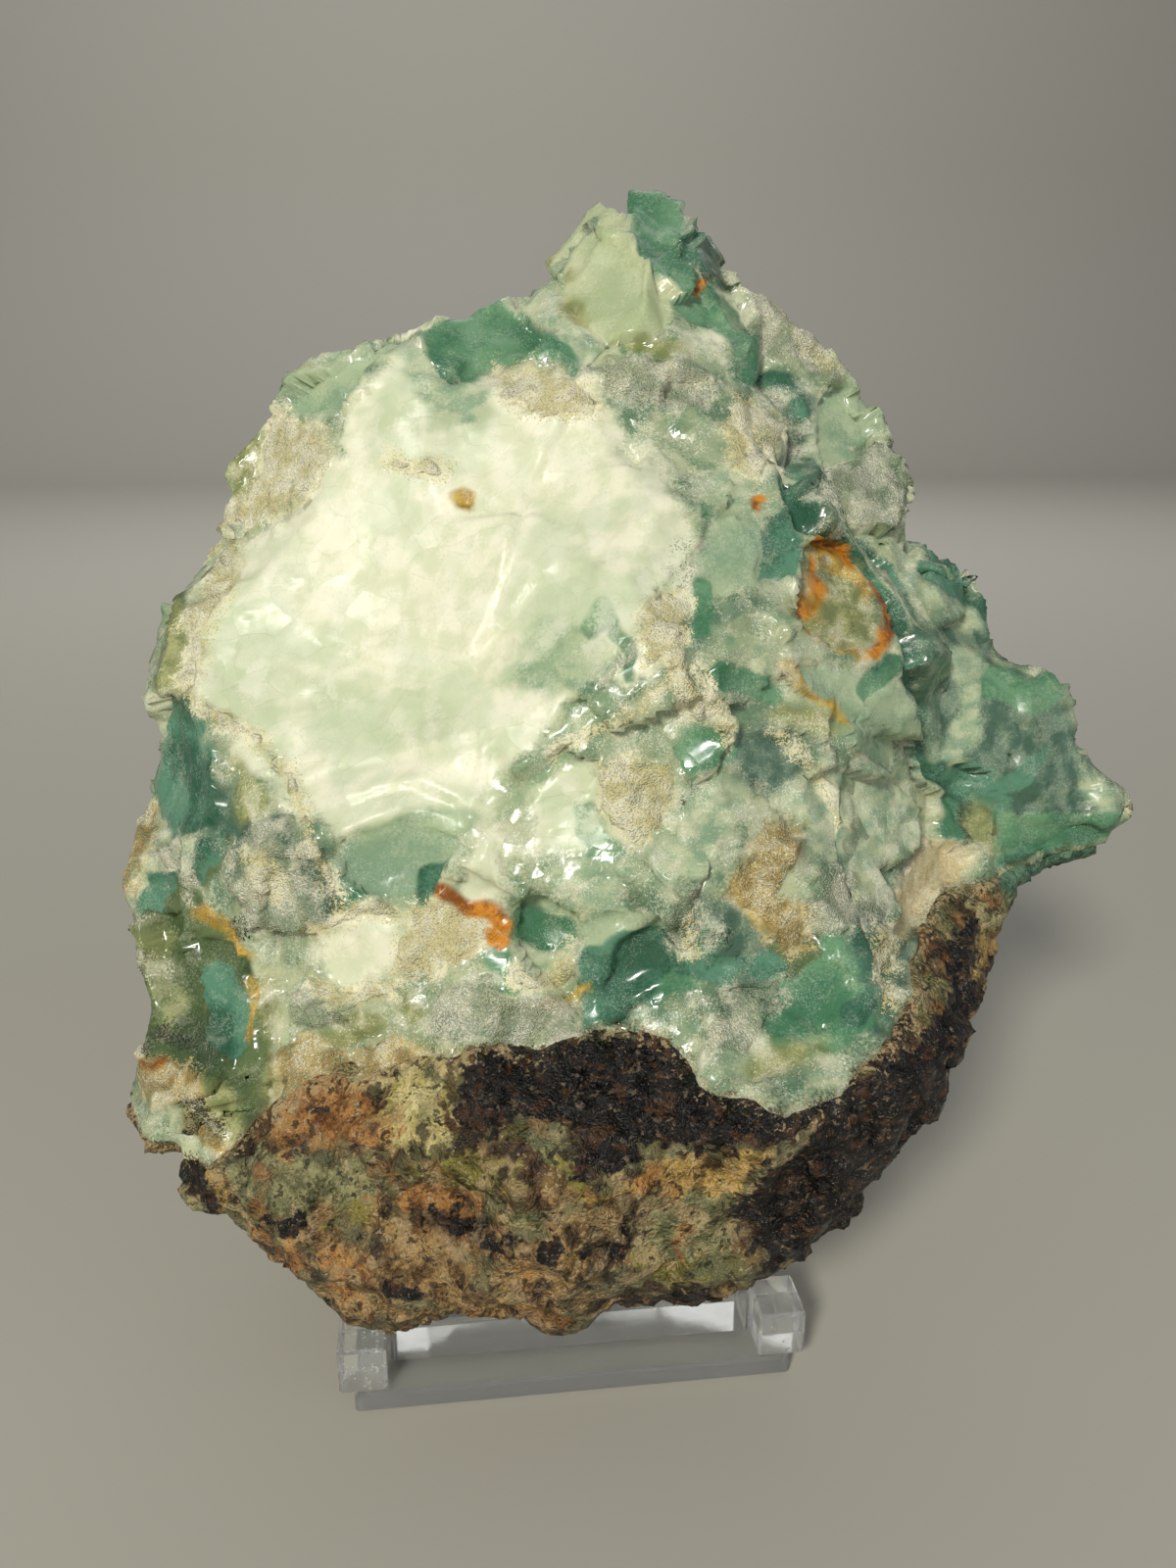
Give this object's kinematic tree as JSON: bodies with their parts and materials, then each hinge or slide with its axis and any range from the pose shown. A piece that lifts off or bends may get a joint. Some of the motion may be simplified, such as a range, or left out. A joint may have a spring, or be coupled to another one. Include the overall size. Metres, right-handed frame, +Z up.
{
  "type": "raw allophane specimen on a display stand",
  "caption": "Raw green allophane mass on its rusty limonite matrix, a hand-sized natural specimen leaning in a clear acrylic display stand.",
  "frame": {"origin": "centre of the underside of the stand's base plate, on the surface it stands on", "axes": "+Z up, -Y towards whoever looks at the specimen's front, +X to their right; the stone leans back towards +Y"},
  "size_m": [0.1451, 0.0977, 0.1583],
  "materials": {
    "allophane": "waxy to glassy, broken surface",
    "limonite": "rough, earthy",
    "acrylic": "polished clear"
  },
  "bodies": {
    "root": {"allophane": "allophane", "limonite_matrix": "limonite", "stand_base": "acrylic", "stand_left_stop": "acrylic", "stand_right_stop": "acrylic", "stand_rail": "acrylic", "stand_back_rest": "acrylic", "stand_brace": "acrylic"}
  },
  "joints": []
}
